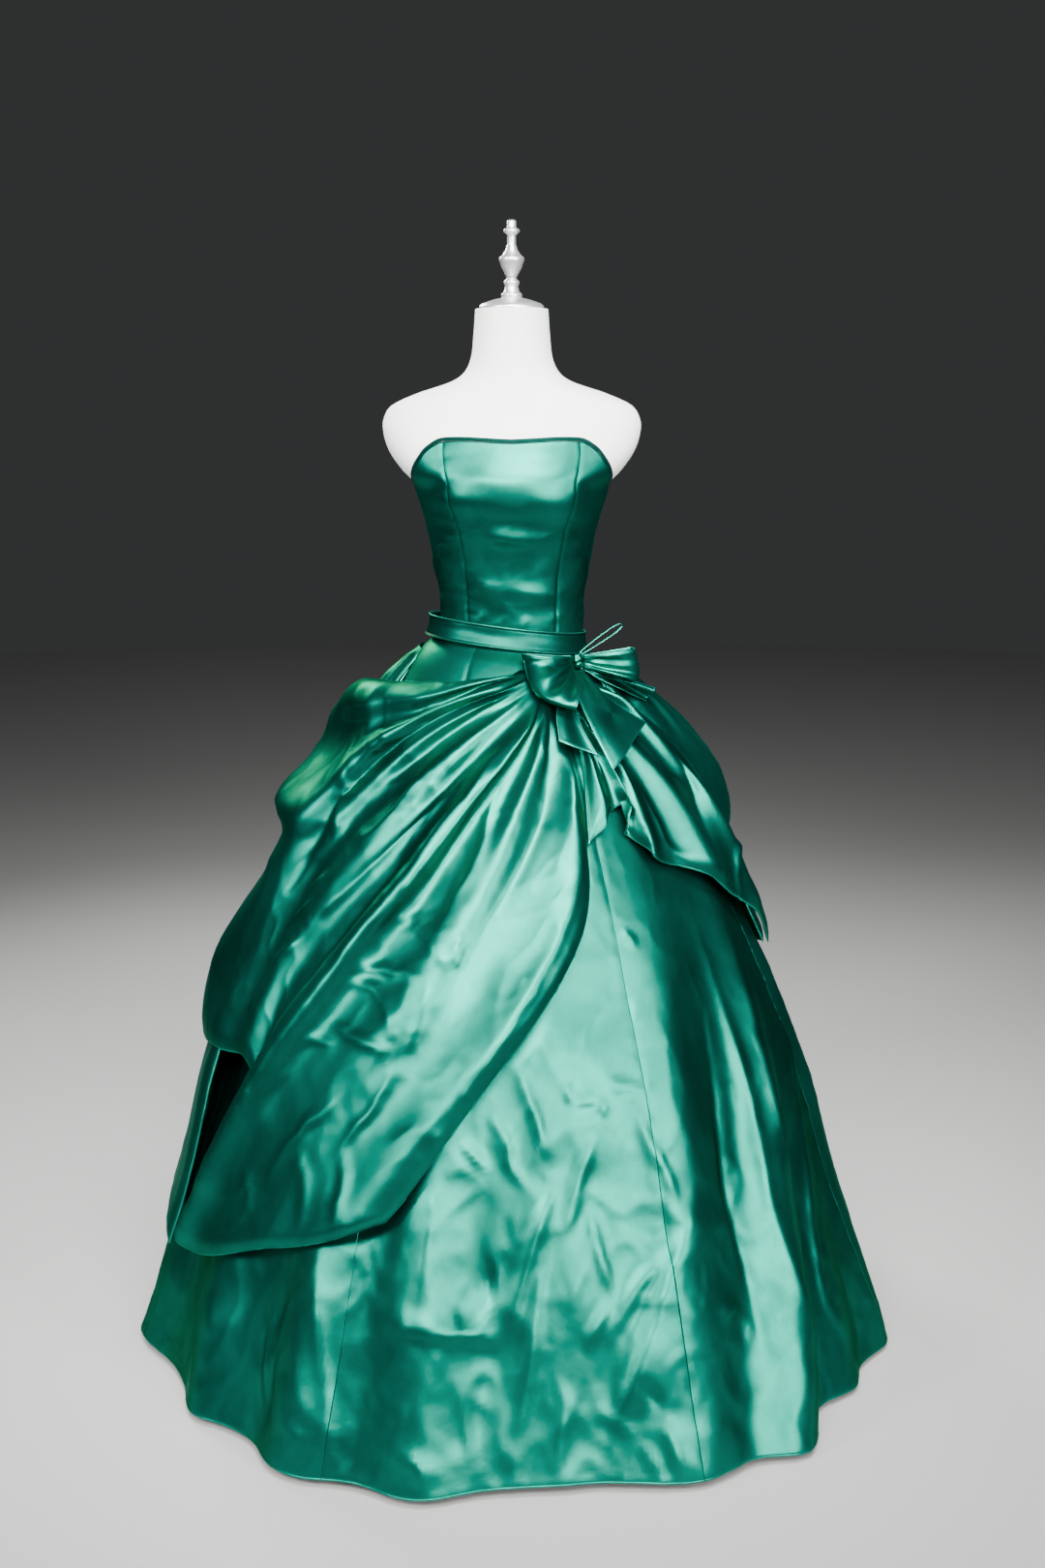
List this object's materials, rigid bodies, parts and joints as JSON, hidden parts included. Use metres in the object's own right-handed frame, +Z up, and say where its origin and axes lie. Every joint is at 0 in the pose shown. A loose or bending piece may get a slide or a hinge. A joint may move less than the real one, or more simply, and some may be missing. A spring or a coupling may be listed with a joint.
{
  "type": "strapless ball gown on a limbless dress form",
  "caption": "Floor-length strapless satin gown with a princess-seamed bodice, belt, hip bow and draped overskirt, on a limbless dress form with a neck cap, finial and round stand.",
  "frame": {"origin": "On the floor, at the middle of the underside of the stand's base.", "axes": "+Z is up, -Y is the front of the gown, and +X is the side of the bow."},
  "size_m": [1.1747, 1.2443, 1.712],
  "materials": {
    "satin": "lustrous emerald satin",
    "belt_satin": "darker green satin with a light edge",
    "binding": "very dark green binding",
    "form": "smooth off-white cover",
    "metal": "polished bright metal",
    "stand": "satin black paint"
  },
  "bodies": {
    "root": {"stand_base": "stand", "stand_pole": "stand", "dress_form": "form", "neck_cap": "metal", "finial": "metal", "bodice_front": "satin", "bodice_side_front_left": "satin", "bodice_side_back_left": "satin", "bodice_back_left": "satin", "bodice_back_right": "satin", "bodice_side_back_right": "satin", "bodice_side_front_right": "satin", "neckline_binding": "binding", "belt": "belt_satin", "skirt_front": "satin", "skirt_side_front_left": "satin", "skirt_side_back_left": "satin", "skirt_back_left": "satin", "skirt_back_right": "satin", "skirt_side_back_right": "satin", "skirt_side_front_right": "satin", "overskirt_back": "satin", "overskirt_right_drape": "satin", "overskirt_left_drape": "satin", "bustle_pouf_left": "satin", "bustle_pouf_right": "satin", "bow_knot": "satin", "bow_loop_right": "satin", "bow_loop_left": "satin", "bow_thin_loop": "satin", "bow_tail_front": "satin", "bow_tail_back": "satin", "bow_tail_side": "satin"}
  },
  "joints": []
}
